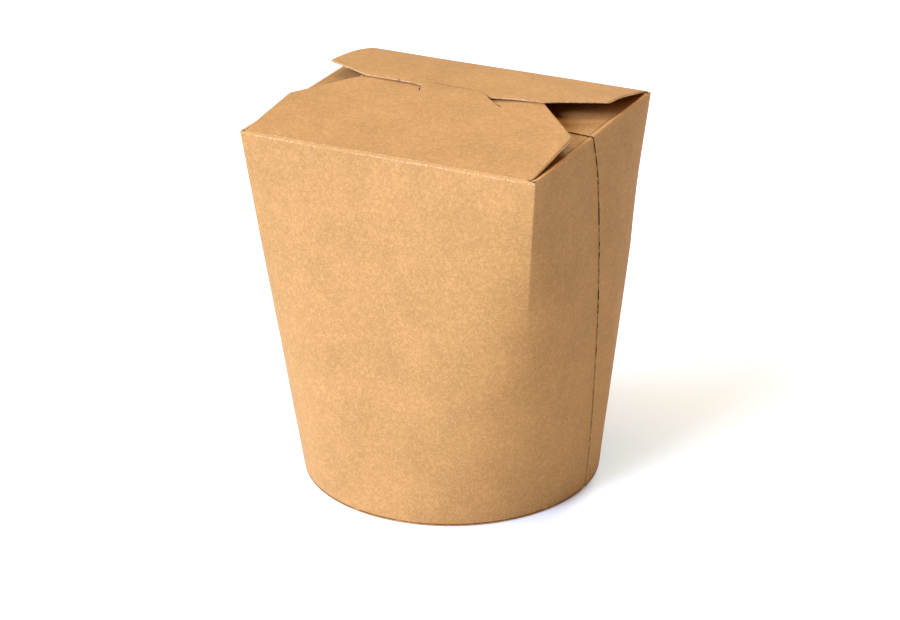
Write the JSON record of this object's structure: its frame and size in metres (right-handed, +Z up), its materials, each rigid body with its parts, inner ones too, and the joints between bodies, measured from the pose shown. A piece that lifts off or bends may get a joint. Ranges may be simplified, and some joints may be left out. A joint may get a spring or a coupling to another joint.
{
  "type": "noodle takeaway box",
  "caption": "Shut kraft card takeaway box, rectangular at the top and round at the base, with its flaps folded in and locked by a tongue.",
  "frame": {"origin": "middle of the foot, on the surface that the box stands on", "axes": "+Z up, +X towards the glued side seam, -Y towards the front panel, whose flap carries the locking tongue"},
  "size_m": [0.0942, 0.088, 0.1157],
  "materials": {
    "kraft_card": "uncoated brown kraft card, matt with a faint sheen, fine fibres and pale cracked fibre along its folds",
    "base_card": "the same brown kraft card, pressed flat, matt"
  },
  "bodies": {
    "root": {"carton": "kraft_card", "base_disc": "base_card"}
  },
  "joints": []
}
